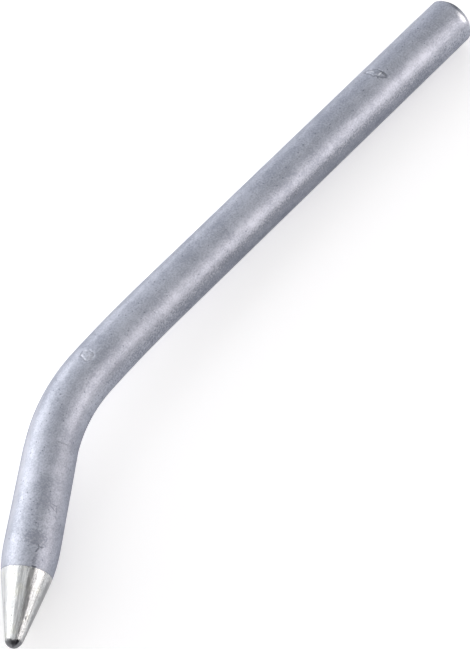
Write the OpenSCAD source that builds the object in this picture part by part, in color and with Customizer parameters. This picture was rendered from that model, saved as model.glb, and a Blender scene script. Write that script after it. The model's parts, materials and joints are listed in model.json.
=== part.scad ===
// Bent soldering iron tip, in millimetres.
// One solid round bar: a plain shank that slides into the iron's heater, a bend, and a
// working end that swells a little under its plating and runs down to a blunt rounded nose.
// The origin is the centre of the rear face, the shank runs along +X, and the bar bends
// towards +Y in the XY plane, so it lies flat with +Z up.

/* [Shank] */
// Diameter of the bar, which the iron's heater sleeve takes
shank_d = 6; // [4:0.1:10]
// Length of the straight shank, from its rear face to the start of the curve
shank_l = 53.6; // [20:0.1:90]
// Width of the chamfer round the rear face
rear_chamfer = 0.6; // [0.1:0.05:1]

/* [Bend] */
// Radius of the slow curve that leads into the bend, at the bar's axis
lead_r = 179; // [60:1:300]
// Angle that the slow curve turns through
lead_angle = 3.7; // [1:0.1:8]
// Radius of the bend itself, at the bar's axis
bend_r = 22; // [12:0.5:60]
// Angle that the bend itself turns through
bend_angle = 29; // [10:0.5:60]

/* [Working end] */
// Length of the swelling neck between the bend and the shoulder
neck_l = 11.1; // [3:0.1:30]
// How much thicker than the bar the neck is where its plating starts, on the diameter
plating_edge = 0.04; // [0.02:0.01:0.1]
// How much thicker than the bar the neck is at the shoulder, on the diameter
neck_swell = 0.2; // [0.1:0.05:0.6]
// Radius of the rounding, seen from the side, that turns the neck into the cone
shoulder_r = 18.2; // [5:0.1:22]
// Slope of the cone, from the axis to its side
taper_angle = 13.8; // [8:0.1:20]
// Radius of the round nose
nose_r = 1; // [0.3:0.05:1.2]

/* [Hidden] */
$fn = 96;
shank_r = shank_d / 2;
neck_r = shank_r + neck_swell / 2;
// How far the neck's plating laps back over the end of the bend
plating_lap = 0.4;
// The whole turn from the shank to the working end, and the centres of the two curves
whole_turn = lead_angle + bend_angle;
lead_centre = [shank_l, lead_r, 0];
bend_centre = lead_centre + (lead_r - bend_r) * square_to(lead_angle);
neck_start = bend_centre + bend_r * square_to(whole_turn);
// The shoulder's rounding, as points [radius, distance along the axis] on its arc
shoulder_steps = 12;
shoulder_arc = [
    for (i = [0:shoulder_steps])
        let (turn = taper_angle * i / shoulder_steps)
            [neck_r - shoulder_r * (1 - cos(turn)), neck_l + shoulder_r * sin(turn)]
];
// Where the shoulder meets the cone: at what radius, and how far along the axis
cone_start_r = shoulder_arc[shoulder_steps][0];
cone_start = shoulder_arc[shoulder_steps][1];
// Where the cone meets the round nose, which it touches without an edge
cone_end_r = nose_r * cos(taper_angle);
cone_end = cone_start + (cone_start_r - cone_end_r) / tan(taper_angle);
nose_centre = cone_end - nose_r * sin(taper_angle);
plating_grey = [0.63, 0.65, 0.69];

// The direction from a curve's centre to the bar, after the bar has turned through an angle
function square_to(turn) = [sin(turn), -cos(turn), 0];

// Stands a profile drawn as [radius, distance along the bar] on the X axis and revolves it
module turned() {
    rotate([0, 90, 0])
        rotate_extrude()
            children();
}

// A strip of the profile plane, wider than the bar, between two distances along it
module strip(from, to) {
    polygon([[0, from], [shank_d, from], [shank_d, to], [0, to]]);
}

// A stretch of the profile with straight sides, from one radius to another
module frustum_profile(from, from_r, to, to_r) {
    polygon([[0, from], [from_r, from], [to_r, to], [0, to]]);
}

// Moves what follows in a coarse and a fine step, so that no figure of its place is rounded off
module shift_exactly(offset) {
    coarse = [for (value = offset) round(value * 10) / 10];
    translate(coarse)
        translate(offset - coarse)
            children();
}

// A stretch of round bar that curves about a centre, from one direction of the bar to another
module curved_bar(centre, radius, from_turn, to_turn) {
    shift_exactly(centre)
        rotate_extrude(start = from_turn - 90, angle = to_turn - from_turn)
            translate([radius, 0])
                circle(d = shank_d);
}

module shank() {
    turned() {
        frustum_profile(0, shank_r - rear_chamfer, rear_chamfer, shank_r);
        frustum_profile(rear_chamfer, shank_r, shank_l, shank_r);
    }
}

module working_end() {
    turned() {
        frustum_profile(-plating_lap, shank_r + plating_edge / 2, neck_l, neck_r);
        polygon([[0, neck_l], each shoulder_arc, [0, cone_start]]);
        frustum_profile(cone_start, cone_start_r, cone_end, cone_end_r);
        intersection() {
            translate([0, nose_centre])
                circle(nose_r);
            strip(cone_end, nose_centre + shank_d);
        }
    }
}

module soldering_tip() {
    color(plating_grey) {
        shank();
        curved_bar(lead_centre, lead_r, 0, lead_angle);
        curved_bar(bend_centre, bend_r, lead_angle, whole_turn);
        shift_exactly(neck_start)
            rotate([0, 0, whole_turn])
                working_end();
    }
}

soldering_tip();
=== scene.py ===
"""A bent soldering iron tip on a pale floor.

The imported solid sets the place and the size. One skin stands for it: Geometry Nodes carry a round
section along the bar's axis and press the two plain stamps into it. The skin wears a blasted
plating up to the tin line and bright tin on the cone, which has burnt grey at the nose.
"""

import json
import logging
import math
from collections.abc import Iterator
from dataclasses import dataclass, field
from enum import Enum

import bpy
from mathutils import Matrix, Vector


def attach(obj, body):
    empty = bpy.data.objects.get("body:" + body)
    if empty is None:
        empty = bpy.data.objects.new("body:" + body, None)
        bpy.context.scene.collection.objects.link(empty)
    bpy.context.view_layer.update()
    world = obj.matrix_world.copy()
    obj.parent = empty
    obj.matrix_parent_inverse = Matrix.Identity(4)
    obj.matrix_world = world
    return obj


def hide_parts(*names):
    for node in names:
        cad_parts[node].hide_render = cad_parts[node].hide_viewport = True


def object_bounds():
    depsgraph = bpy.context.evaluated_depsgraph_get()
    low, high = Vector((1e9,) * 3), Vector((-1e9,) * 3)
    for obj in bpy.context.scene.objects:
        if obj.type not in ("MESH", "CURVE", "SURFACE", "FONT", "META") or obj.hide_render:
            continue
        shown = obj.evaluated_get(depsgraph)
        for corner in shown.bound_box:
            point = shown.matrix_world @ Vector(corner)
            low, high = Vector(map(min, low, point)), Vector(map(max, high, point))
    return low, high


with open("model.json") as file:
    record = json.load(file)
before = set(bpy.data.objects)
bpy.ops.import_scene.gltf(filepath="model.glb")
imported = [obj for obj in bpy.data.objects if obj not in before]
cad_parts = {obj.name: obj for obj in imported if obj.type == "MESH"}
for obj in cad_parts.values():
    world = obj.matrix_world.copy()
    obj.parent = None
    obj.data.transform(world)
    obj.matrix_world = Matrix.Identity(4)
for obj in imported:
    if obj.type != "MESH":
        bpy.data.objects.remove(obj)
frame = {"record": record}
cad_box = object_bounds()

LOG = logging.getLogger("soldering_tip")
MM = 0.001
UP = Vector((0, 0, 1))
MM_PER_DEGREE = math.radians(3.0)
Colour = tuple[float, float, float, float]


class Domain(Enum):
    """Where a value of the skin is stored."""

    POINT = "POINT"
    FACE = "FACE"


class Reading(Enum):
    """The names of the values that the skin carries for its finishes."""

    ALONG = "along"
    AROUND = "around"
    # The rings' painted shade and painted highlight.
    STAMP = "stamp"


def linear(hex_colour: str) -> Colour:
    """Turns an sRGB hex colour into the linear colour that a shader takes.

    Args:
        hex_colour: Six hex digits after a hash, such as "#A0A4AE".

    Returns:
        The linear red, green, blue and a full alpha.
    """
    shares = [int(hex_colour[i:i + 2], 16) / 255 for i in (1, 3, 5)]
    red, green, blue = [s / 12.92 if s <= 0.04045 else ((s + 0.055) / 1.055) ** 2.4 for s in shares]
    return red, green, blue, 1.0


def add(tree: bpy.types.NodeTree, kind: str, inputs: dict | None = None, **settings) -> bpy.types.Node:
    """Adds one node to a tree.

    Args:
        tree: The tree that gets the node.
        kind: Blender's name for the node's type.
        inputs: A socket to link, or a value to set, for each input's name or number.
        settings: Values for the node's own properties.

    Returns:
        The new node.
    """
    node = tree.nodes.new(kind)
    for name, value in settings.items():
        setattr(node, name, value)
    for key, value in (inputs or {}).items():
        if isinstance(value, bpy.types.NodeSocket):
            tree.links.new(value, node.inputs[key])
        else:
            node.inputs[key].default_value = value
    return node


def per_metre(size_mm: float) -> float:
    """The scale of a pattern on metre coordinates whose features are so many millimetres wide."""
    return 1000.0 / size_mm


def point_at(direction: Vector, roll: float = 0.0) -> Matrix:
    """Turns a camera or lamp, which look along their own -Z, to look along a direction.

    Args:
        direction: Where to look.
        roll: How far the top leans over to the right, in radians.

    Returns:
        The turn, as a 4x4 matrix.
    """
    return direction.to_track_quat("-Z", "Y").to_matrix().to_4x4() @ Matrix.Rotation(-roll, 4, "Z")


@dataclass(frozen=True)
class BarAxis:
    """The line that the bar follows in the XY plane, in millimetres and radians."""

    shank: float = 53.6
    lead_radius: float = 179.0
    lead_turn: float = math.radians(3.7)
    bend_radius: float = 22.0
    bend_turn: float = math.radians(29.0)

    @property
    def stretches(self) -> list[tuple[float, float]]:
        """The length and the turn of each stretch before the straight neck."""
        return [
            (self.shank, 0.0),
            (self.lead_radius * self.lead_turn, self.lead_turn),
            (self.bend_radius * self.bend_turn, self.bend_turn),
        ]

    @property
    def neck_start(self) -> float:
        """The distance along the bar at which the bend ends."""
        return sum(length for length, _ in self.stretches)

    def point(self, along: float) -> Vector:
        """Finds a point of the line.

        Args:
            along: The distance from the rear face, measured along the bar.

        Returns:
            The point, in millimetres.
        """
        place = Vector((0, 0, 0))
        heading = 0.0
        left = along
        for length, turn in [*self.stretches, (math.inf, 0.0)]:
            step = min(left, length)
            swing = turn * step / length if turn else 0.0
            chord = 2 * length / turn * math.sin(swing / 2) if turn else step
            middle = heading + swing / 2
            place += chord * Vector((math.cos(middle), math.sin(middle), 0))
            heading += swing
            left -= step
        return place


@dataclass(frozen=True)
class BarProfile:
    """How thick the bar is along its axis, in millimetres and radians."""

    radius: float
    neck_start: float
    chamfer: float = 0.6
    edge_round: float = 0.12
    plating_lap: float = 0.4
    plating_edge: float = 0.02
    neck_length: float = 11.1
    neck_radius: float = 3.1
    shoulder_radius: float = 18.2
    taper: float = math.radians(13.8)
    nose_radius: float = 1.0

    @property
    def shoulder(self) -> float:
        """The distance along the bar at which the shoulder starts."""
        return self.neck_start + self.neck_length

    @property
    def cone(self) -> tuple[float, float]:
        """The distance along the bar at which the cone starts, and its radius there."""
        drop = self.shoulder_radius * (1 - math.cos(self.taper))
        return self.shoulder + self.shoulder_radius * math.sin(self.taper), self.neck_radius - drop

    @property
    def cone_end(self) -> float:
        """The distance along the bar at which the cone runs into the round nose."""
        start, start_radius = self.cone
        return start + (start_radius - self.nose_radius * math.cos(self.taper)) / math.tan(self.taper)

    @property
    def nose_centre(self) -> float:
        """The distance along the bar of the round nose's centre."""
        return self.cone_end - self.nose_radius * math.sin(self.taper)

    @property
    def length(self) -> float:
        """The whole length of the bar, along its axis."""
        return self.nose_centre + self.nose_radius

    def at(self, along: float) -> float:
        """Finds the bar's radius.

        Args:
            along: The distance from the rear face, measured along the bar.

        Returns:
            The radius there, in millimetres.
        """
        cone_start, cone_radius = self.cone
        if along < self.chamfer + self.edge_round:
            slope = self.radius - self.chamfer + along
            blend = max(self.edge_round - abs(slope - self.radius), 0.0) / self.edge_round
            return min(slope, self.radius) - blend * blend * self.edge_round / 4
        if along < self.neck_start - self.plating_lap:
            return self.radius
        if along < self.shoulder:
            share = (along - self.neck_start + self.plating_lap) / (self.neck_length + self.plating_lap)
            thin = self.radius + self.plating_edge
            return thin + (self.neck_radius - thin) * share
        if along < cone_start:
            reach = along - self.shoulder
            return self.neck_radius - self.shoulder_radius + math.sqrt(self.shoulder_radius ** 2 - reach ** 2)
        if along < self.cone_end:
            return cone_radius - (along - cone_start) * math.tan(self.taper)
        return math.sqrt(max(self.nose_radius ** 2 - (along - self.nose_centre) ** 2, 0.0))


@dataclass(frozen=True)
class Stamp:
    """A plain shallow ring that was pressed into the bar.

    Its place is the distance along the bar and the turn about the axis, in degrees from the top,
    positive towards the inside of the bend. Sizes are in millimetres. A positive shade paints shade
    into the ring, and a negative one paints a highlight on it.
    """

    along: float
    turn: float
    half_length: float
    half_width: float
    slant: float
    line: float
    depth: float
    shade: float


@dataclass(frozen=True)
class Hollow:
    """A stretch of the skin that wear has taken down, placed as a stamp is, with its reach in degrees."""

    along: float
    turn: float
    half_length: float
    half_turn: float
    depth: float


@dataclass(frozen=True)
class Blemish:
    """A patch of a finish, placed as a stamp is: dirt, wear, painted shade or a painted highlight.

    Its length lies along the bar, unless it leans towards the inside of the bend by some degrees.
    """

    along: float
    turn: float
    half_length: float
    half_width: float
    strength: float
    lean: float = 0.0


def patch_group() -> bpy.types.NodeTree:
    """Builds the node group that says how much of one ragged patch there is at each point.

    Returns:
        The group: the point's along, turn and grain and the patch's place and sizes go in, a
        share comes out.
    """
    group = bpy.data.node_groups.new("ragged_patch", "ShaderNodeTree")
    names = (
        "Along", "Turn", "Grain", "Patch along", "Patch turn", "Half length", "Half width", "Lean", "Strength")
    for name in names:
        group.interface.new_socket(name, in_out="INPUT", socket_type="NodeSocketFloat")
    group.interface.new_socket("Share", in_out="OUTPUT", socket_type="NodeSocketFloat")
    given = add(group, "NodeGroupInput").outputs
    ahead = add(group, "ShaderNodeMath", {0: given["Along"], 1: given["Patch along"]}, operation="SUBTRACT")
    off = add(group, "ShaderNodeMath", {0: given["Turn"], 1: given["Patch turn"]}, operation="SUBTRACT")
    beside = add(group, "ShaderNodeMath", {0: off.outputs[0], 1: MM_PER_DEGREE}, operation="MULTIPLY")
    flat = add(group, "ShaderNodeCombineXYZ", {0: ahead.outputs[0], 1: beside.outputs[0]})
    own = add(group, "ShaderNodeVectorRotate", {
        "Vector": flat.outputs[0], "Angle": given["Lean"]}, rotation_type="Z_AXIS")
    size = add(group, "ShaderNodeCombineXYZ", {0: given["Half length"], 1: given["Half width"], 2: 1.0})
    share = add(group, "ShaderNodeVectorMath", {0: own.outputs[0], 1: size.outputs[0]}, operation="DIVIDE")
    reach = add(group, "ShaderNodeVectorMath", {0: share.outputs[0]}, operation="LENGTH")
    grain = add(group, "ShaderNodeMath", {0: given["Grain"], 1: 1.6, 2: -0.8}, operation="MULTIPLY_ADD")
    edge = add(group, "ShaderNodeMath", {0: reach.outputs["Value"], 1: grain.outputs[0]}, operation="ADD")
    soft = add(group, "ShaderNodeMapRange", {
        0: edge.outputs[0], 1: 1.25, 2: 0.6, 3: 0.0, 4: given["Strength"]}, interpolation_type="SMOOTHSTEP")
    add(group, "NodeGroupOutput", {"Share": soft.outputs[0]})
    return group


class SkinReader:
    """The values that a finish reads from the skin, and the patches that it places by them."""

    def __init__(self, tree: bpy.types.NodeTree) -> None:
        """Adds the nodes that read the skin.

        Args:
            tree: The finish's tree.
        """
        self.tree = tree
        self.place = add(tree, "ShaderNodeTexCoord").outputs["Object"]
        self.along = add(tree, "ShaderNodeAttribute", attribute_name=Reading.ALONG.value).outputs["Fac"]
        self.around = add(tree, "ShaderNodeAttribute", attribute_name=Reading.AROUND.value).outputs["Vector"]
        self.stamp = add(tree, "ShaderNodeAttribute", attribute_name=Reading.STAMP.value).outputs["Fac"]
        ends = add(tree, "ShaderNodeSeparateXYZ", {0: self.around}).outputs
        angle = add(tree, "ShaderNodeMath", {0: ends[0], 1: ends[1]}, operation="ARCTAN2")
        self.turn = add(tree, "ShaderNodeMath", {0: angle.outputs[0]}, operation="DEGREES").outputs[0]
        length = add(tree, "ShaderNodeVectorMath", {0: self.around}, operation="LENGTH").outputs["Value"]
        self.wall = add(tree, "ShaderNodeMapRange", {
            0: length, 1: 0.97, 2: 0.995}, interpolation_type="SMOOTHSTEP").outputs[0]
        self.patch = bpy.data.node_groups.get("ragged_patch") or patch_group()

    def patches(self, blemishes: tuple[Blemish, ...], grain: bpy.types.NodeSocket) -> bpy.types.NodeSocket:
        """Places patches, whose rims a grain makes ragged.

        Args:
            blemishes: The patches.
            grain: The grain, from 0 to 1.

        Returns:
            How much of a blemish there is at each point, from 0 to 1, and none on the flat rear face.
        """
        total = 0.0
        for blemish in blemishes:
            share = add(self.tree, "ShaderNodeGroup", node_tree=self.patch)
            values = {
                "Along": self.along, "Turn": self.turn, "Grain": grain, "Patch along": blemish.along,
                "Patch turn": blemish.turn, "Half length": blemish.half_length,
                "Half width": blemish.half_width, "Lean": -math.radians(blemish.lean),
                "Strength": blemish.strength}
            for name, value in values.items():
                if isinstance(value, float | int):
                    share.inputs[name].default_value = value
                else:
                    self.tree.links.new(value, share.inputs[name])
            total = add(self.tree, "ShaderNodeMath", {0: share.outputs[0], 1: total}, operation="MAXIMUM").outputs[0]
        return add(self.tree, "ShaderNodeMath", {0: total, 1: self.wall}, operation="MULTIPLY").outputs[0]


@dataclass(frozen=True)
class BlastedPlating:
    """Nickel plating over a grit-blasted bar.

    A matte, cool grey metal: soft broad highlights with ragged edges, a fine mottled grain, and
    small dark pits. The pits and the grain are drawn as coarse as they need to be to show.
    """

    name: str = "blasted_nickel_plating"
    pale: str = "#BBBEC9"
    deep: str = "#9DA1AD"
    pit: str = "#5C606B"
    # The colour of dirt, and of painted shade.
    stain_and_painted_shade: str = "#585C66"
    # The colour of rubbed wear, and of painted highlights.
    rubbed_and_painted_highlight: str = "#E9EAF0"
    edge_tint: str = "#B4B6BC"
    roughness: float = 0.46
    cloud_mm: float = 4.5
    blotch_mm: float = 1.3
    ripple_mm: float = 0.45
    grit_mm: float = 0.2
    pit_spacing_mm: float = 0.42
    pit_size: float = 0.34
    ripple_height_mm: float = 0.024
    grit_height_mm: float = 0.02
    tin_line: float = 90.68
    # Dirt patches, and painted shade: the dark crescent on the rear chamfer's rim and the dark stripe down the right
    # edge.
    dirt_and_painted_shade: tuple[Blemish, ...] = (
        # Painted shade: the rear chamfer's rim, which lies in shadow.
        Blemish(along=0.28, turn=-15, half_length=0.26, half_width=1.5, strength=0.8),
        Blemish(along=14.1, turn=-18, half_length=0.3, half_width=0.8, strength=0.22),
        Blemish(along=13.8, turn=-9, half_length=0.14, half_width=0.28, strength=0.6),
        # Painted shade: a dark stripe down the shank's right edge, where the metal mirrors the shadowed floor.
        Blemish(along=32.0, turn=70, half_length=31.0, half_width=1.2, strength=0.4),
        Blemish(along=87.4, turn=4, half_length=0.9, half_width=1.3, strength=0.25),
        Blemish(along=88.0, turn=3, half_length=0.12, half_width=1.3, strength=0.3),
        Blemish(along=88.25, turn=14, half_length=0.22, half_width=0.12, strength=0.6, lean=28),
        Blemish(along=88.33, turn=20, half_length=0.25, half_width=0.11, strength=0.6, lean=-72),
        Blemish(along=88.7, turn=13, half_length=0.36, half_width=0.12, strength=0.65, lean=-24),
        Blemish(along=89.8, turn=12, half_length=0.8, half_width=0.2, strength=0.3),
        Blemish(along=90.6, turn=13, half_length=0.14, half_width=0.34, strength=0.9),
        Blemish(along=83.6, turn=28, half_length=0.5, half_width=0.07, strength=0.5, lean=60),
        Blemish(along=83.2, turn=31, half_length=0.4, half_width=0.07, strength=0.45, lean=82),
        Blemish(along=83.5, turn=38, half_length=0.5, half_width=0.08, strength=0.35, lean=12),
        Blemish(along=83.5, turn=-5, half_length=0.1, half_width=0.1, strength=0.5),
        Blemish(along=83.3, turn=8, half_length=2.6, half_width=0.8, strength=0.14),
        Blemish(along=81.0, turn=0, half_length=1.6, half_width=0.7, strength=0.12),
        Blemish(along=64.65, turn=-24, half_length=0.12, half_width=0.14, strength=0.4),
        Blemish(along=65.0, turn=-15, half_length=0.16, half_width=0.1, strength=0.4),
        Blemish(along=64.6, turn=-14, half_length=0.1, half_width=0.12, strength=0.4),
        Blemish(along=65.05, turn=-25, half_length=0.1, half_width=0.1, strength=0.4),
        Blemish(along=64.05, turn=-40, half_length=0.45, half_width=0.07, strength=0.5, lean=130),
    )
    # Wear, and painted highlights: a glare on the rear chamfer and a pale stripe down the neck's left edge.
    wear_and_painted_highlight: tuple[Blemish, ...] = (
        # A burnished edge at the end of the bright band, whose near-white colour is a painted glare.
        Blemish(along=0.7, turn=26, half_length=0.5, half_width=0.95, strength=0.75),
        Blemish(along=0.3, turn=42, half_length=0.35, half_width=1.0, strength=0.7),
        # Painted highlight: a long pale stripe that keeps the neck's left edge bright.
        Blemish(along=79.5, turn=-74, half_length=12.5, half_width=1.0, strength=0.42),
        Blemish(along=64.8, turn=-19, half_length=0.5, half_width=0.6, strength=0.22),
        Blemish(along=14.32, turn=-31, half_length=0.13, half_width=0.34, strength=0.75),
        Blemish(along=14.08, turn=-11, half_length=0.26, half_width=0.12, strength=0.75),
    )

    def build(self) -> bpy.types.Material:
        """Builds the material, whose grain reads Object coordinates and whose patches read the skin.

        Returns:
            The new material.
        """
        material, tree, shader = new_material(self.name)
        skin = SkinReader(tree)
        clouds, blotches, ripple, grit = [
            add(tree, "ShaderNodeTexNoise", {
                "Vector": skin.place, "Scale": per_metre(size), "Detail": detail, "Roughness": fine}).outputs["Fac"]
            for size, detail, fine in (
                (self.cloud_mm, 3.0, 0.6), (self.blotch_mm, 2.0, 0.6), (self.ripple_mm, 2.0, 0.5),
                (self.grit_mm, 2.0, 0.6))]
        shade = 0.0
        for noise, weight in ((clouds, 0.3), (blotches, 0.2), (grit, 0.5)):
            shade = add(tree, "ShaderNodeMath", {
                0: noise, 1: weight, 2: shade}, operation="MULTIPLY_ADD").outputs[0]
        shade = add(tree, "ShaderNodeMapRange", {
            0: shade, 1: 0.38, 2: 0.62}, interpolation_type="SMOOTHSTEP").outputs[0]

        cells = add(tree, "ShaderNodeTexVoronoi", {
            "Vector": skin.place, "Scale": per_metre(self.pit_spacing_mm)})
        chance = add(tree, "ShaderNodeSeparateColor", {0: cells.outputs["Color"]}).outputs[0]
        rare = add(tree, "ShaderNodeMath", {0: chance, 1: 3.0}, operation="POWER").outputs[0]
        size = add(tree, "ShaderNodeMath", {0: rare, 1: self.pit_size}, operation="MULTIPLY").outputs[0]
        inside = add(tree, "ShaderNodeMath", {0: size, 1: cells.outputs["Distance"]}, operation="SUBTRACT")
        pits = add(tree, "ShaderNodeMapRange", {
            0: inside.outputs[0], 1: 0.0, 2: 0.12, 3: 0.0, 4: 0.5}, interpolation_type="SMOOTHSTEP").outputs[0]

        from_line = add(tree, "ShaderNodeMath", {0: skin.along, 1: self.tin_line}, operation="SUBTRACT")
        from_line = add(tree, "ShaderNodeMath", {0: from_line.outputs[0]}, operation="ABSOLUTE")
        seam = add(tree, "ShaderNodeMapRange", {
            0: from_line.outputs[0], 1: 0.1, 2: 0.02, 3: 0.0, 4: 0.5}, interpolation_type="SMOOTHSTEP").outputs[0]
        # The rings' painted shade darkens the plating, and their painted highlight lightens it.
        ring_painted_shade = add(tree, "ShaderNodeMath", {0: skin.stamp, 1: 0.6}, operation="MULTIPLY").outputs[0]
        ring_painted_highlight = add(tree, "ShaderNodeMath", {0: skin.stamp, 1: -0.6}, operation="MULTIPLY").outputs[0]
        # Dirt, painted shade, the dark seam at the tin line and the rings' painted shade all take the stain colour.
        dirt_and_painted_shade = skin.patches(self.dirt_and_painted_shade, grit)
        for other in (seam, ring_painted_shade):
            dirt_and_painted_shade = add(tree, "ShaderNodeMath", {0: dirt_and_painted_shade, 1: other}, operation="MAXIMUM").outputs[0]
        # Wear and painted highlights, with the rubbed ring's painted highlight; they also lower the roughness a
        # little.
        wear_and_painted_highlight = skin.patches(self.wear_and_painted_highlight, grit)
        wear_and_painted_highlight = add(tree, "ShaderNodeMath", {0: wear_and_painted_highlight, 1: ring_painted_highlight}, operation="MAXIMUM").outputs[0]
        surface = linear(self.deep)
        for share, colour in ((shade, self.pale), (pits, self.pit), (dirt_and_painted_shade, self.stain_and_painted_shade), (wear_and_painted_highlight, self.rubbed_and_painted_highlight)):
            surface = add(tree, "ShaderNodeMix", {
                "Factor": share, 6: surface, 7: linear(colour)}, data_type="RGBA").outputs[2]

        rough = add(tree, "ShaderNodeMapRange", {
            0: blotches, 1: 0.35, 2: 0.65, 3: self.roughness + 0.01, 4: self.roughness - 0.01},
            interpolation_type="SMOOTHSTEP").outputs[0]
        rough = add(tree, "ShaderNodeMath", {0: wear_and_painted_highlight, 1: -0.1, 2: rough}, operation="MULTIPLY_ADD").outputs[0]
        height = 0.0
        for noise, rise in ((grit, self.grit_height_mm), (ripple, self.ripple_height_mm)):
            height = add(tree, "ShaderNodeMath", {
                0: noise, 1: rise, 2: height}, operation="MULTIPLY_ADD").outputs[0]
        bump = add(tree, "ShaderNodeBump", {"Strength": 1.0, "Distance": MM, "Height": height})
        shader.inputs["Metallic"].default_value = 1.0
        shader.inputs["Specular Tint"].default_value = linear(self.edge_tint)
        tree.links.new(surface, shader.inputs["Base Color"])
        tree.links.new(rough, shader.inputs["Roughness"])
        tree.links.new(bump.outputs[0], shader.inputs["Normal"])
        return material


@dataclass(frozen=True)
class BrightTin:
    """Solder tin that was wiped along the hot cone, and has burnt dull at the nose.

    Smooth and near neutral, with lengthwise streaks that break up its sharp highlights, small
    dark spots of old flux, a painted dark reflection down the cone's middle and right edge, and a rough dark nose.
    """

    name: str = "wiped_tin"
    bright: str = "#CFD0D1"
    dull: str = "#B2B4B6"
    straw: str = "#C4C3B6"
    # The colour of flux spots, and of the painted dark reflection.
    flux_and_dark_reflection: str = "#55565A"
    burnt: str = "#7B7C80"
    char: str = "#303036"
    roughness: float = 0.27
    streak_width_mm: float = 0.3
    streak_length_mm: float = 3.0
    speck_mm: float = 0.4
    stain_mm: float = 1.2
    streak_height_mm: float = 0.03
    speck_height_mm: float = 0.02
    burn_start: float = 98.35
    # Flux spots, and a painted dark reflection: the dark streak down the cone's middle and its dark right edge.
    flux_and_dark_reflection_marks: tuple[Blemish, ...] = (
        # Painted dark reflection: the dark streak between the cone's bright highlights.
        Blemish(along=91.5, turn=11, half_length=0.9, half_width=0.3, strength=0.35, lean=-6),
        Blemish(along=92.5, turn=9, half_length=0.9, half_width=0.24, strength=0.55, lean=4),
        Blemish(along=93.6, turn=15, half_length=1.0, half_width=0.28, strength=0.5),
        Blemish(along=95.2, turn=18, half_length=1.7, half_width=0.34, strength=0.6),
        # Painted dark reflection: the cone's right edge.
        Blemish(along=94.6, turn=70, half_length=4.6, half_width=0.75, strength=0.5),
        # Painted dark reflection: more of the dark streak.
        Blemish(along=97.2, turn=17, half_length=0.6, half_width=0.16, strength=0.7),
        Blemish(along=96.4, turn=-3, half_length=1.3, half_width=0.14, strength=0.35),
        # Dark spots of old flux.
        Blemish(along=95.95, turn=31, half_length=0.22, half_width=0.2, strength=0.6),
        Blemish(along=97.28, turn=64, half_length=0.14, half_width=0.14, strength=0.6),
        Blemish(along=95.94, turn=-29, half_length=0.1, half_width=0.08, strength=0.6),
        Blemish(along=96.5, turn=-32, half_length=0.1, half_width=0.07, strength=0.6),
        Blemish(along=96.86, turn=-18, half_length=0.12, half_width=0.08, strength=0.5),
        Blemish(along=97.06, turn=-34, half_length=0.09, half_width=0.07, strength=0.6),
        Blemish(along=90.8, turn=13, half_length=0.2, half_width=0.2, strength=0.7),
    )
    char_marks: tuple[Blemish, ...] = (
        Blemish(along=98.5, turn=26, half_length=0.42, half_width=0.7, strength=0.95),
        Blemish(along=98.8, turn=5, half_length=0.3, half_width=1.4, strength=0.55),
    )

    def build(self) -> bpy.types.Material:
        """Builds the material, whose streaks and patches follow the skin.

        Returns:
            The new material.
        """
        material, tree, shader = new_material(self.name)
        skin = SkinReader(tree)
        ends = add(tree, "ShaderNodeSeparateXYZ", {0: skin.around}).outputs
        flow = add(tree, "ShaderNodeCombineXYZ")
        steps = ((skin.along, 1.0 / self.streak_length_mm), (ends[0], 3.0 / self.streak_width_mm),
                 (ends[1], 3.0 / self.streak_width_mm))
        for number, (reading, scale) in enumerate(steps):
            scaled = add(tree, "ShaderNodeMath", {0: reading, 1: scale}, operation="MULTIPLY")
            tree.links.new(scaled.outputs[0], flow.inputs[number])
        streaks = add(tree, "ShaderNodeTexNoise", {
            "Vector": flow.outputs[0], "Scale": 1.0, "Detail": 3.0, "Roughness": 0.6}).outputs["Fac"]
        specks = add(tree, "ShaderNodeTexNoise", {
            "Vector": skin.place, "Scale": per_metre(self.speck_mm), "Detail": 3.0, "Roughness": 0.6}).outputs["Fac"]
        patches = add(tree, "ShaderNodeTexNoise", {
            "Vector": skin.place, "Scale": per_metre(self.stain_mm), "Detail": 2.0}).outputs["Fac"]

        wiped = add(tree, "ShaderNodeMapRange", {
            0: streaks, 1: 0.35, 2: 0.65}, interpolation_type="SMOOTHSTEP").outputs[0]
        yellowed = add(tree, "ShaderNodeMapRange", {
            0: patches, 1: 0.52, 2: 0.7, 3: 0.0, 4: 0.35}, interpolation_type="SMOOTHSTEP").outputs[0]
        spots = add(tree, "ShaderNodeMapRange", {
            0: specks, 1: 0.34, 2: 0.26, 3: 0.0, 4: 0.5}, interpolation_type="SMOOTHSTEP").outputs[0]
        # Flux spots, the painted dark reflection and small dark flux specks; they also roughen the tin.
        flux_and_dark_reflection = skin.patches(self.flux_and_dark_reflection_marks, specks)
        flux_and_dark_reflection = add(tree, "ShaderNodeMath", {0: flux_and_dark_reflection, 1: spots}, operation="MAXIMUM").outputs[0]
        edge = add(tree, "ShaderNodeMath", {
            0: specks, 1: 0.9, 2: skin.along}, operation="MULTIPLY_ADD").outputs[0]
        burn = add(tree, "ShaderNodeMapRange", {
            0: edge, 1: self.burn_start + 0.37, 2: self.burn_start + 0.57},
            interpolation_type="SMOOTHSTEP").outputs[0]
        char = skin.patches(self.char_marks, specks)
        char = add(tree, "ShaderNodeMath", {0: char, 1: burn}, operation="MULTIPLY").outputs[0]
        surface = linear(self.dull)
        layers = ((wiped, self.bright), (yellowed, self.straw), (flux_and_dark_reflection, self.flux_and_dark_reflection), (burn, self.burnt),
                  (char, self.char))
        for share, colour in layers:
            surface = add(tree, "ShaderNodeMix", {
                "Factor": share, 6: surface, 7: linear(colour)}, data_type="RGBA").outputs[2]

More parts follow.
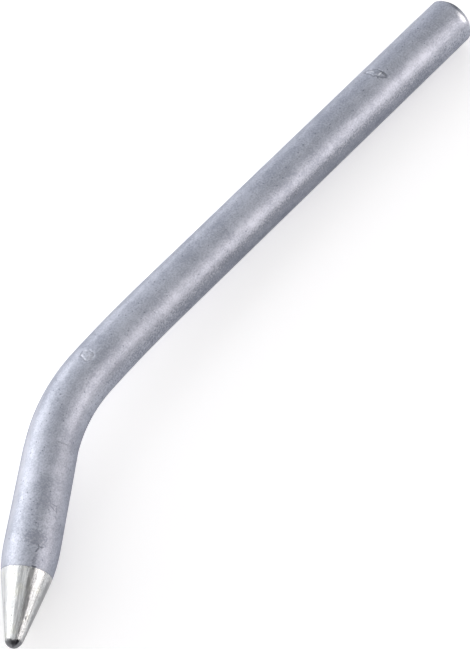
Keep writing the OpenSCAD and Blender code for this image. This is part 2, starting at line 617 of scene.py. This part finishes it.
        rough = self.roughness
        for share, rise in ((burn, 0.2), (flux_and_dark_reflection, 0.15)):
            rough = add(tree, "ShaderNodeMath", {0: share, 1: rise, 2: rough}, operation="MULTIPLY_ADD").outputs[0]
        height = 0.0
        for noise, rise in ((specks, self.speck_height_mm), (streaks, self.streak_height_mm)):
            height = add(tree, "ShaderNodeMath", {
                0: noise, 1: rise, 2: height}, operation="MULTIPLY_ADD").outputs[0]
        bump = add(tree, "ShaderNodeBump", {"Strength": 1.0, "Distance": MM, "Height": height})
        shader.inputs["Metallic"].default_value = 1.0
        tree.links.new(surface, shader.inputs["Base Color"])
        tree.links.new(rough, shader.inputs["Roughness"])
        tree.links.new(bump.outputs[0], shader.inputs["Normal"])
        return material


def new_material(name: str) -> tuple[bpy.types.Material, bpy.types.NodeTree, bpy.types.Node]:
    """Starts a material.

    Args:
        name: The finish's name.

    Returns:
        The material, its empty tree, and the shader that stands before its output.
    """
    material = bpy.data.materials.new(name)
    material.use_nodes = True
    tree = material.node_tree
    tree.nodes.clear()
    shader = add(tree, "ShaderNodeBsdfPrincipled")
    add(tree, "ShaderNodeOutputMaterial", {"Surface": shader.outputs[0]})
    return material, tree, shader


@dataclass
class SolderingTip:
    """The whole object: one solid bar, swept along its axis and dressed in two finishes."""

    node: str = "soldering_tip"
    slot: str = "plated_copper"
    sides: int = 192
    coarse_step: float = 0.4
    fine_step: float = 0.075
    tin_line: float = 90.68
    tin_thickness: float = 0.025
    seed: int = 4
    stamps: tuple[Stamp, ...] = (
        Stamp(14.22, -21.0, half_length=0.5, half_width=1.28, slant=-0.26, line=0.13, depth=0.05, shade=1.0),
        Stamp(64.85, -19.0, half_length=0.62, half_width=0.72, slant=0.0, line=0.18, depth=0.055, shade=-0.5),
    )
    stamp_wander_mm: float = 0.5
    nose_wear: Hollow = Hollow(98.8, 80.0, half_length=0.75, half_turn=75.0, depth=0.18)
    plating: BlastedPlating = field(default_factory=BlastedPlating)
    tin: BrightTin = field(default_factory=BrightTin)

    def __post_init__(self) -> None:
        """Reads the shank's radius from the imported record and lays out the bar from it."""
        shank = next(m for m in frame["record"]["mounts"] if m["name"] == "shank")
        self.axis = BarAxis()
        self.profile = BarProfile(shank["dims"]["r_mm"], self.axis.neck_start)

    def fine_places(self) -> Iterator[tuple[float, float]]:
        """Yields the stretches, as start and end, that need closely spaced rings."""
        yield 0.0, self.profile.chamfer + 2 * self.profile.edge_round
        for stamp in self.stamps:
            reach = stamp.half_length + abs(stamp.slant) * stamp.half_width + 2 * stamp.line
            yield stamp.along - reach, stamp.along + reach
        lap = self.profile.neck_start - self.profile.plating_lap
        yield lap - self.fine_step, lap + self.fine_step
        yield self.tin_line - 0.4, self.tin_line + 0.4
        yield self.profile.cone_end, self.profile.length

    def ring_places(self) -> list[float]:
        """Lists the distances along the bar at which the skin has a ring."""
        close = list(self.fine_places())
        places = [0.0]
        end = self.profile.length - self.fine_step / 8
        while places[-1] < end:
            here = places[-1]
            gap = min(max(start - here, here - stop, 0.0) for start, stop in close)
            places.append(here + min(self.coarse_step, self.fine_step + gap / 3))
        return [min(place, end) for place in places]

    def axis_curve(self) -> bpy.types.Object:
        """Draws the axis as a curve whose points carry the bar's radius.

        Returns:
            The curve's object, in metres.
        """
        places = self.ring_places()
        curve = bpy.data.curves.new("tip_axis", "CURVE")
        curve.dimensions = "3D"
        curve.twist_mode = "Z_UP"
        spline = curve.splines.new("POLY")
        spline.points.add(len(places) - 1)
        for point, along in zip(spline.points, places):
            point.co = (*(self.axis.point(along) * MM), 1.0)
            point.radius = self.profile.at(along) * MM
        axis = bpy.data.objects.new("tip_axis", curve)
        bpy.context.scene.collection.objects.link(axis)
        return axis

    def stamp_group(self) -> bpy.types.NodeTree:
        """Builds the node group that says how deep one pressed ring is at each point.

        Returns:
            The group: the point's along, turn and wander and the ring's sizes go in, a share comes out.
        """
        group = bpy.data.node_groups.new("pressed_ring", "GeometryNodeTree")
        names = (
            "Along", "Turn", "Wander", "Ring along", "Ring turn", "Half length", "Half turn", "Slant", "Line")
        for name in names:
            group.interface.new_socket(name, in_out="INPUT", socket_type="NodeSocketFloat")
        group.interface.new_socket("Press", in_out="OUTPUT", socket_type="NodeSocketFloat")
        given = add(group, "NodeGroupInput").outputs
        ahead = add(group, "ShaderNodeMath", {0: given["Along"], 1: given["Ring along"]}, operation="SUBTRACT")
        beside = add(group, "ShaderNodeMath", {0: given["Turn"], 1: given["Ring turn"]}, operation="SUBTRACT")
        leaning = add(group, "ShaderNodeMath", {
            0: beside.outputs[0], 1: given["Slant"], 2: ahead.outputs[0]}, operation="MULTIPLY_ADD")
        first = add(group, "ShaderNodeMath", {0: leaning.outputs[0], 1: given["Half length"]}, operation="DIVIDE")
        second = add(group, "ShaderNodeMath", {0: beside.outputs[0], 1: given["Half turn"]}, operation="DIVIDE")
        both = add(group, "ShaderNodeCombineXYZ", {0: first.outputs[0], 1: second.outputs[0]})
        reach = add(group, "ShaderNodeVectorMath", {0: both.outputs[0]}, operation="LENGTH")
        bent = add(group, "ShaderNodeMath", {0: reach.outputs["Value"], 1: given["Wander"]}, operation="ADD")
        off = add(group, "ShaderNodeMath", {0: bent.outputs[0], 1: 1.0}, operation="SUBTRACT")
        away = add(group, "ShaderNodeMath", {0: off.outputs[0]}, operation="ABSOLUTE")
        width = add(group, "ShaderNodeMath", {0: given["Line"], 1: given["Half length"]}, operation="DIVIDE")
        press = add(group, "ShaderNodeMapRange", {
            "Value": away.outputs[0], "From Min": 0.0, "From Max": width.outputs[0],
            "To Min": 1.0, "To Max": 0.0}, interpolation_type="SMOOTHSTEP")
        add(group, "NodeGroupOutput", {"Press": press.outputs[0]})
        return group

    def worn_hollow(self, tree: bpy.types.NodeTree, along: bpy.types.NodeSocket,
                    turn: bpy.types.NodeSocket) -> bpy.types.NodeSocket:
        """Adds the nodes that take down the worn side of the nose.

        Args:
            tree: The skin's tree.
            along: The distance along the bar, in millimetres.
            turn: The turn about the axis, in degrees.

        Returns:
            How far the skin moves outwards, in metres, which is never above zero.
        """
        wear = self.nose_wear
        ahead = add(tree, "ShaderNodeMath", {0: along, 1: wear.along}, operation="SUBTRACT")
        beside = add(tree, "ShaderNodeMath", {0: turn, 1: wear.turn}, operation="SUBTRACT")
        both = add(tree, "ShaderNodeCombineXYZ", {0: ahead.outputs[0], 1: beside.outputs[0]})
        share = add(tree, "ShaderNodeVectorMath", {
            0: both.outputs[0], 1: (wear.half_length, wear.half_turn, 1.0)}, operation="DIVIDE")
        reach = add(tree, "ShaderNodeVectorMath", {0: share.outputs[0]}, operation="LENGTH")
        sunk = add(tree, "ShaderNodeMapRange", {
            "Value": reach.outputs["Value"], "From Min": 0.0, "From Max": 1.0,
            "To Min": -wear.depth * MM, "To Max": 0.0}, interpolation_type="SMOOTHSTEP")
        return sunk.outputs[0]

    def skin_tree(self) -> bpy.types.NodeTree:
        """Builds the tree that sweeps the section, presses the stamps in and sets the finishes.

        Returns:
            The tree, with the skin's sizes as named inputs.
        """
        tree = bpy.data.node_groups.new("swept_bar", "GeometryNodeTree")
        tree.interface.new_socket("Axis", in_out="INPUT", socket_type="NodeSocketGeometry")
        tree.interface.new_socket("Sides", in_out="INPUT", socket_type="NodeSocketInt")
        for name in ("Tin line", "Tin thickness", "Unevenness", "Uneven size", "Seed"):
            tree.interface.new_socket(name, in_out="INPUT", socket_type="NodeSocketFloat")
        tree.interface.new_socket("Skin", in_out="OUTPUT", socket_type="NodeSocketGeometry")
        given = add(tree, "NodeGroupInput").outputs

        length = add(tree, "GeometryNodeSplineParameter").outputs["Length"]
        along_mm = add(tree, "ShaderNodeMath", {0: length, 1: 1 / MM}, operation="MULTIPLY").outputs[0]
        measured = add(tree, "GeometryNodeStoreNamedAttribute", {
            "Geometry": given["Axis"], "Name": Reading.ALONG.value, "Value": along_mm}, data_type="FLOAT")
        placed = add(tree, "GeometryNodeStoreNamedAttribute", {
            "Geometry": measured.outputs[0], "Name": "core",
            "Value": add(tree, "GeometryNodeInputPosition").outputs[0]}, data_type="FLOAT_VECTOR")
        headed = add(tree, "GeometryNodeStoreNamedAttribute", {
            "Geometry": placed.outputs[0], "Name": "heading",
            "Value": add(tree, "GeometryNodeInputTangent").outputs[0]}, data_type="FLOAT_VECTOR")
        section = add(tree, "GeometryNodeCurvePrimitiveCircle", {"Resolution": given["Sides"], "Radius": 1.0})
        swept = add(tree, "GeometryNodeCurveToMesh", {
            "Curve": headed.outputs[0], "Profile Curve": section.outputs[0], "Fill Caps": True})
        if "Scale" in swept.inputs:
            radius = add(tree, "GeometryNodeInputRadius").outputs[0]
            tree.links.new(radius, swept.inputs["Scale"])

        along = add(tree, "GeometryNodeInputNamedAttribute", {"Name": Reading.ALONG.value}).outputs["Attribute"]
        core = add(tree, "GeometryNodeInputNamedAttribute", {"Name": "core"}, data_type="FLOAT_VECTOR")
        heading = add(tree, "GeometryNodeInputNamedAttribute", {"Name": "heading"}, data_type="FLOAT_VECTOR")
        position = add(tree, "GeometryNodeInputPosition").outputs[0]
        reach = add(tree, "ShaderNodeVectorMath", {
            0: position, 1: core.outputs["Attribute"]}, operation="SUBTRACT")
        outward = add(tree, "ShaderNodeVectorMath", {0: reach.outputs[0]}, operation="NORMALIZE").outputs[0]
        side = add(tree, "ShaderNodeVectorMath", {
            0: tuple(UP), 1: heading.outputs["Attribute"]}, operation="CROSS_PRODUCT")
        across = add(tree, "ShaderNodeVectorMath", {0: outward, 1: side.outputs[0]}, operation="DOT_PRODUCT")
        upward = add(tree, "ShaderNodeVectorMath", {0: outward, 1: tuple(UP)}, operation="DOT_PRODUCT")
        around = add(tree, "ShaderNodeCombineXYZ", {0: across.outputs["Value"], 1: upward.outputs["Value"]})
        angle = add(tree, "ShaderNodeMath", {
            0: across.outputs["Value"], 1: upward.outputs["Value"]}, operation="ARCTAN2")
        turn = add(tree, "ShaderNodeMath", {0: angle.outputs[0]}, operation="DEGREES").outputs[0]

        group = self.stamp_group()
        crooked = add(tree, "ShaderNodeTexNoise", {
            "Vector": position, "Scale": per_metre(self.stamp_wander_mm), "Detail": 1.0}).outputs["Fac"]
        wander = add(tree, "ShaderNodeMath", {0: crooked, 1: 1.2, 2: -0.6}, operation="MULTIPLY_ADD").outputs[0]
        sunk = self.worn_hollow(tree, along, turn)
        # Each ring adds painted shade where its stamp's shade is positive, and a painted highlight where it is
        # negative.
        shade = None
        for stamp in self.stamps:
            half_turn = math.degrees(stamp.half_width / self.profile.radius)
            ring = add(tree, "GeometryNodeGroup", node_tree=group)
            values = {
                "Ring along": stamp.along, "Ring turn": stamp.turn, "Half length": stamp.half_length,
                "Half turn": half_turn, "Slant": -stamp.slant * math.radians(1) * self.profile.radius,
                "Line": stamp.line}
            for name, value in values.items():
                ring.inputs[name].default_value = value
            tree.links.new(along, ring.inputs["Along"])
            tree.links.new(turn, ring.inputs["Turn"])
            tree.links.new(wander, ring.inputs["Wander"])
            press = ring.outputs[0]
            sunk = add(tree, "ShaderNodeMath", {
                0: press, 1: -stamp.depth * MM, 2: sunk}, operation="MULTIPLY_ADD").outputs[0]
            shade = add(tree, "ShaderNodeMath", {
                0: press, 1: stamp.shade, 2: shade or 0.0}, operation="MULTIPLY_ADD").outputs[0]

        far = add(tree, "ShaderNodeMath", {0: given["Uneven size"], 1: MM}, operation="MULTIPLY")
        scale = add(tree, "ShaderNodeMath", {0: 1.0, 1: far.outputs[0]}, operation="DIVIDE")
        noise = add(tree, "ShaderNodeTexNoise", {
            "Vector": position, "W": given["Seed"], "Scale": scale.outputs[0], "Detail": 2.0},
            noise_dimensions="4D")
        centred = add(tree, "ShaderNodeMath", {0: noise.outputs["Fac"], 1: 0.5}, operation="SUBTRACT")
        height = add(tree, "ShaderNodeMath", {0: given["Unevenness"], 1: MM}, operation="MULTIPLY")
        uneven = add(tree, "ShaderNodeMath", {
            0: centred.outputs[0], 1: height.outputs[0], 2: sunk}, operation="MULTIPLY_ADD")
        past = add(tree, "ShaderNodeMath", {0: along, 1: given["Tin line"]}, operation="SUBTRACT")
        tinned = add(tree, "ShaderNodeMapRange", {
            "Value": past.outputs[0], "From Min": 0.0, "From Max": 0.12, "To Min": 0.0, "To Max": MM},
            interpolation_type="SMOOTHSTEP")
        relief = add(tree, "ShaderNodeMath", {
            0: tinned.outputs[0], 1: given["Tin thickness"], 2: uneven.outputs[0]}, operation="MULTIPLY_ADD")
        offset = add(tree, "ShaderNodeVectorMath", {0: outward, "Scale": relief.outputs[0]}, operation="SCALE")
        pressed = add(tree, "GeometryNodeSetPosition", {"Geometry": swept.outputs[0], "Offset": offset.outputs[0]})
        turned = add(tree, "GeometryNodeStoreNamedAttribute", {
            "Geometry": pressed.outputs[0], "Name": Reading.AROUND.value, "Value": around.outputs[0]},
            data_type="FLOAT_VECTOR", domain=Domain.POINT.value)
        shaded = add(tree, "GeometryNodeStoreNamedAttribute", {
            "Geometry": turned.outputs[0], "Name": Reading.STAMP.value, "Value": shade},
            data_type="FLOAT", domain=Domain.POINT.value)

        smooth = add(tree, "GeometryNodeSetShadeSmooth", {"Geometry": shaded.outputs[0], "Shade Smooth": True})
        plated = add(tree, "GeometryNodeSetMaterial", {
            "Geometry": smooth.outputs[0], "Material": self.plating.build()})
        whole = add(tree, "GeometryNodeRealizeInstances", {"Geometry": plated.outputs[0]})
        on_face = add(tree, "GeometryNodeFieldOnDomain", {
            "Value": past.outputs[0]}, domain=Domain.FACE.value, data_type="FLOAT")
        beyond = add(tree, "FunctionNodeCompare", {
            0: on_face.outputs[0], 1: 0.0}, data_type="FLOAT", operation="GREATER_THAN")
        dressed = add(tree, "GeometryNodeSetMaterial", {
            "Geometry": whole.outputs[0], "Selection": beyond.outputs[0], "Material": self.tin.build()})
        add(tree, "NodeGroupOutput", {"Skin": dressed.outputs[0]})
        return tree

    def build(self) -> bpy.types.Object:
        """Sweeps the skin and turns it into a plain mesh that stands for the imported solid.

        Returns:
            The skin's object.
        """
        axis = self.axis_curve()
        tree = self.skin_tree()
        modifier = axis.modifiers.new("sweep", "NODES")
        modifier.node_group = tree
        values = {
            "Sides": self.sides, "Tin line": self.tin_line, "Tin thickness": self.tin_thickness,
            "Unevenness": 0.02, "Uneven size": 2.4, "Seed": float(self.seed)}
        for item in tree.interface.items_tree:
            if item.name in values:
                modifier[item.identifier] = values[item.name]
        evaluated = axis.evaluated_get(bpy.context.evaluated_depsgraph_get())
        mesh = bpy.data.meshes.new_from_object(evaluated)
        axis.modifiers.remove(modifier)
        bpy.data.objects.remove(axis)
        for name in ("core", "heading"):
            mesh.attributes.remove(mesh.attributes[name])
        mesh.set_sharp_from_angle(angle=math.radians(40))
        skin = bpy.data.objects.new("plated_bar", mesh)
        bpy.context.scene.collection.objects.link(skin)
        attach(skin, "root")
        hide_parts(self.node)
        LOG.info("%s: %d faces, %d finishes", skin.name, len(mesh.polygons), len(mesh.materials))
        return skin


@dataclass(frozen=True)
class Softbox:
    """A soft studio lamp, placed by where it stands as seen from the object."""

    name: str
    azimuth: float
    elevation: float
    width: float
    height: float
    watts: float
    colour: str = "#FFFFFF"
    distance: float = 0.6
    roll: float = 0.0

    def place(self, target: Vector) -> bpy.types.Object:
        """Stands the lamp facing the object.

        Args:
            target: The point that it faces.

        Returns:
            The lamp's object.
        """
        azimuth, elevation = math.radians(self.azimuth), math.radians(self.elevation)
        flat = math.cos(elevation)
        outward = Vector((flat * math.cos(azimuth), flat * math.sin(azimuth), math.sin(elevation)))
        lamp = bpy.data.lights.new(self.name, "AREA")
        lamp.shape = "RECTANGLE"
        lamp.size = self.width
        lamp.size_y = self.height
        lamp.energy = self.watts
        lamp.color = linear(self.colour)[:3]
        stand = bpy.data.objects.new(self.name, lamp)
        stand.matrix_world = Matrix.Translation(target + outward * self.distance) @ point_at(
            -outward, math.radians(self.roll))
        bpy.context.scene.collection.objects.link(stand)
        LOG.info("%s: %.1f W", self.name, self.watts)
        return stand


@dataclass
class Studio:
    """The pale floor, the dim room, the lamps and the camera."""

    floor_size: float = 3.0
    floor_colour: str = "#E8E8EA"
    floor_glow: float = 0.72
    # A painted shadow: the floor's glow drops by this share in a strip beside the bar's inner side, which the bar's
    # right edge mirrors.
    painted_shadow_depth: float = 0.44
    painted_shadow_edges: tuple[float, float, float, float] = (-0.012, 0.0, 0.012, 0.04)
    painted_shadow_direction: Vector = field(default_factory=lambda: Vector((-0.15, 1.0, 0.0)))
    room_colour: str = "#FFFFFF"
    room_strength: float = 0.02
    aim: Vector = field(default_factory=lambda: Vector((0.0494, 0.0080, 0.0)))
    camera_place: Vector = field(default_factory=lambda: Vector((0.18052, 0.07889, 0.29359)))
    camera_roll: float = math.radians(-14.19)
    focal_pixels: float = 2921.0
    picture_height: int = 649
    lamps: tuple[Softbox, ...] = (
        Softbox("left_softbox", 290, 19, width=0.745, height=0.515, watts=1.16, colour="#FFFDF8"),
        Softbox("left_near_panel", 312, 18, width=0.4, height=0.4, watts=0.41),
        Softbox("left_low_strip", 272, 5, width=0.5, height=0.16, watts=0.75),
        Softbox("left_low_panel", 306, 4, width=0.4, height=0.14, watts=0.3),
        Softbox("left_high_panel", 300, 38, width=0.3, height=0.3, watts=0.35),
        Softbox("left_back_panel", 262, 32, width=0.4, height=0.4, watts=0.23, colour="#E8EFFF"),
        Softbox("front_top_panel", 326, 66, width=0.66, height=0.58, watts=0.93),
        Softbox("right_softbox", 130, 35, width=0.34, height=0.5, watts=1.28, colour="#FFF8F5"),
        Softbox("right_low_strip", 118, 27, width=0.15, height=0.5, watts=0.2),
        Softbox("right_near_panel", 152, 24, width=0.2, height=0.3, watts=0.12),
        Softbox("back_top_panel", 170, 60, width=0.3, height=0.3, watts=0.31),
        Softbox("back_panel", 232, 48, width=0.4, height=0.4, watts=0.42),
        Softbox("back_low_panel", 225, 12, width=0.3, height=0.25, watts=0.19, colour="#F0F4FF"),
        Softbox("top_panel", 60, 78, width=0.4, height=0.4, watts=0.17),
    )

    def floor(self, low: float) -> bpy.types.Object:
        """Lays the floor.

        Args:
            low: The height that the object rests on, in metres.

        Returns:
            The floor's object.
        """
        half = self.floor_size / 2
        corners = [(-half, -half, low), (half, -half, low), (half, half, low), (-half, half, low)]
        mesh = bpy.data.meshes.new("floor")
        mesh.from_pydata(corners, [], [(0, 1, 2, 3)])
        material = bpy.data.materials.new("pale_paper")
        material.use_nodes = True
        tree = material.node_tree
        tree.nodes.clear()
        path = add(tree, "ShaderNodeLightPath").outputs
        seen = add(tree, "ShaderNodeMath", {
            0: path["Is Camera Ray"], 1: path["Is Glossy Ray"]}, operation="MAXIMUM")
        seen = add(tree, "ShaderNodeMath", {
            0: seen.outputs[0], 1: path["Is Transmission Ray"]}, operation="MAXIMUM")
        # The painted shadow: a strip beside the bar where the glow drops.
        place = add(tree, "ShaderNodeNewGeometry").outputs["Position"]
        across = add(tree, "ShaderNodeVectorMath", {
            0: place, 1: tuple(self.painted_shadow_direction)}, operation="DOT_PRODUCT").outputs["Value"]
        first, deep, shallow, last = self.painted_shadow_edges
        falling = add(tree, "ShaderNodeMapRange", {
            "Value": across, "From Min": first, "From Max": deep}, interpolation_type="SMOOTHSTEP")
        rising = add(tree, "ShaderNodeMapRange", {
            "Value": across, "From Min": last, "From Max": shallow}, interpolation_type="SMOOTHSTEP")
        painted_shadow = add(tree, "ShaderNodeMath", {0: falling.outputs[0], 1: rising.outputs[0]}, operation="MULTIPLY")
        share = add(tree, "ShaderNodeMath", {
            0: painted_shadow.outputs[0], 1: -self.painted_shadow_depth, 2: 1.0}, operation="MULTIPLY_ADD")
        strength = add(tree, "ShaderNodeMath", {0: share.outputs[0], 1: self.floor_glow}, operation="MULTIPLY")
        lit = add(tree, "ShaderNodeMath", {0: seen.outputs[0], 1: strength.outputs[0]}, operation="MULTIPLY")
        paper = add(tree, "ShaderNodeBsdfDiffuse", {"Color": linear(self.floor_colour)})
        glow = add(tree, "ShaderNodeEmission", {"Strength": lit.outputs[0]})
        both = add(tree, "ShaderNodeAddShader", {0: paper.outputs[0], 1: glow.outputs[0]})
        add(tree, "ShaderNodeOutputMaterial", {"Surface": both.outputs[0]})
        mesh.materials.append(material)
        floor = bpy.data.objects.new("floor", mesh)
        bpy.context.scene.collection.objects.link(floor)
        return floor

    def room(self) -> bpy.types.World:
        """Fills the room with dim even light, and shows white where the camera looks past the floor.

        Returns:
            The world.
        """
        world = bpy.data.worlds.new("room")
        world.use_nodes = True
        tree = world.node_tree
        tree.nodes.clear()
        path = add(tree, "ShaderNodeLightPath").outputs
        dim = add(tree, "ShaderNodeBackground", {
            "Color": linear(self.room_colour), "Strength": self.room_strength})
        white = add(tree, "ShaderNodeBackground", {"Color": (1, 1, 1, 1), "Strength": 1.0})
        mixed = add(tree, "ShaderNodeMixShader", {
            0: path["Is Camera Ray"], 1: dim.outputs[0], 2: white.outputs[0]})
        add(tree, "ShaderNodeOutputWorld", {"Surface": mixed.outputs[0]})
        bpy.context.scene.world = world
        return world

    def camera(self) -> bpy.types.Object:
        """Sets the camera where the photograph was taken from.

        Returns:
            The camera's object.
        """
        data = bpy.data.cameras.new("camera")
        data.lens = self.focal_pixels * data.sensor_width / self.picture_height
        data.clip_start = 0.01
        data.clip_end = 20.0
        camera = bpy.data.objects.new("camera", data)
        camera.matrix_world = Matrix.Translation(self.camera_place) @ point_at(
            self.aim - self.camera_place, self.camera_roll)
        bpy.context.scene.collection.objects.link(camera)
        bpy.context.scene.camera = camera
        return camera

    def build(self, low: float) -> None:
        """Builds the studio round an object.

        Args:
            low: The height that the object rests on, in metres.
        """
        self.camera()
        self.floor(low)
        self.room()
        for lamp in self.lamps:
            lamp.place(self.aim)
        bpy.context.scene.view_settings.view_transform = "Standard"


def main() -> None:
    """Builds the tip and its studio."""
    logging.basicConfig(level=logging.INFO, format="%(message)s")
    tip = SolderingTip()
    tip.build()
    Studio().build(cad_box[0].z)


if __name__ == "__main__":
    main()
